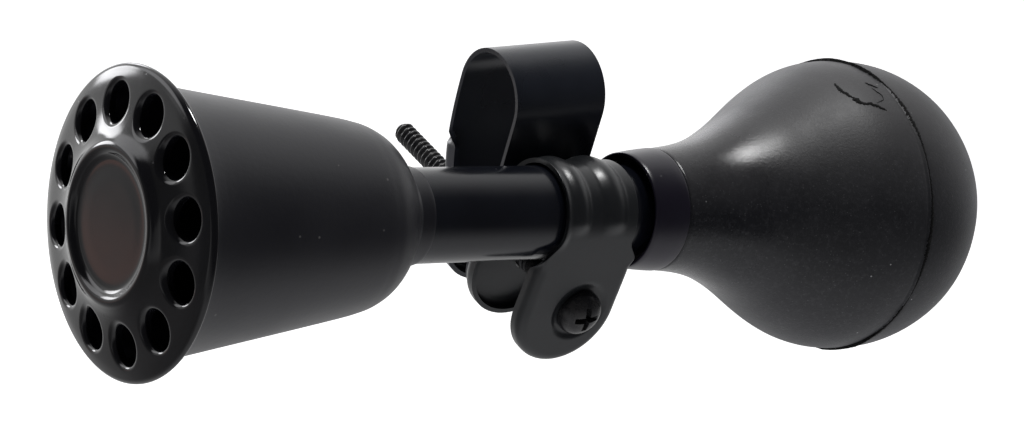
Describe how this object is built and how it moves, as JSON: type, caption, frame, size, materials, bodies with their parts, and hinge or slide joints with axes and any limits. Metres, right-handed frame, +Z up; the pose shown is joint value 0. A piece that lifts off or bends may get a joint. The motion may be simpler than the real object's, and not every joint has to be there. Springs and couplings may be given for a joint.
{
  "type": "bicycle horn",
  "caption": "Bulb horn for a bicycle: flared metal bell with a pierced round cover, straight stem, reed, rubber squeeze bulb and a hinged two-strap handlebar bracket.",
  "frame": {"origin": "centre of the round seat of the handlebar strap, on the axis of the bar it holds", "axes": "+X along the horn's axis from bell to bulb, +Y along the clamping screw from its head to its tip, +Z up, from the clamping screw towards the stem"},
  "size_m": [0.22, 0.0951, 0.0657],
  "materials": {
    "satin_black_paint": "satin",
    "gloss_black_paint": "gloss",
    "strap_enamel": "satin",
    "black_screw": "black oxide",
    "bulb_rubber": "matte",
    "brass": "satin"
  },
  "bodies": {
    "bar_clamp": {"handlebar_strap": "strap_enamel"},
    "stem_clamp": {"stem_strap": "strap_enamel"},
    "horn": {"bell_shell": "satin_black_paint", "grille_cover": "gloss_black_paint", "stem_tube": "gloss_black_paint", "reed_holder": "brass", "reed_shallot": "brass", "reed_wedge": "brass", "bulb_cuff": "satin_black_paint", "bulb_front_half": "bulb_rubber"},
    "bulb_rear": {"bulb_rear_half": "bulb_rubber"},
    "reed": {"reed_tongue": "brass"},
    "screw": {"clamp_screw": "black_screw"},
    "nut": {"clamp_nut": "black_screw"}
  },
  "joints": [
    {"name": "bracket_swivel", "type": "hinge", "parent": "bar_clamp", "child": "stem_clamp", "pos_m": [0.00291, -0.01225, -0.03287], "axis": [0, 1, 0], "range_deg": [-1, 180]},
    {"name": "horn_roll", "type": "hinge", "parent": "stem_clamp", "child": "horn", "pos_m": [0.00051, -0.02305, -0.01477], "axis": [1, 0, 0], "continuous": true},
    {"name": "bulb_squeeze", "type": "slide", "parent": "horn", "child": "bulb_rear", "axis": [-1, 0, 0], "range_m": [0, 0.022], "stiffness_N_per_m": 1200, "deforming": ["bulb_front_half"]},
    {"name": "reed_vibrate", "type": "hinge", "parent": "horn", "child": "reed", "pos_m": [0.03791, -0.02305, -0.01383], "axis": [0, 1, 0], "range_deg": [-1.5, 1.5], "stiffness_Nm_per_rad": 0.05},
    {"name": "screw_turn", "type": "hinge", "parent": "bar_clamp", "child": "screw", "pos_m": [0.00291, -0.02305, -0.03287], "axis": [0, -1, 0], "range_deg": [0, 5400]},
    {"name": "nut_run", "type": "slide", "parent": "bar_clamp", "child": "nut", "axis": [0, 1, 0], "range_m": [0, 0.0225]}
  ],
  "couplings": [
    {"joint": "screw_turn", "follows": "nut_run", "rad_per_m": 4188.8}
  ]
}
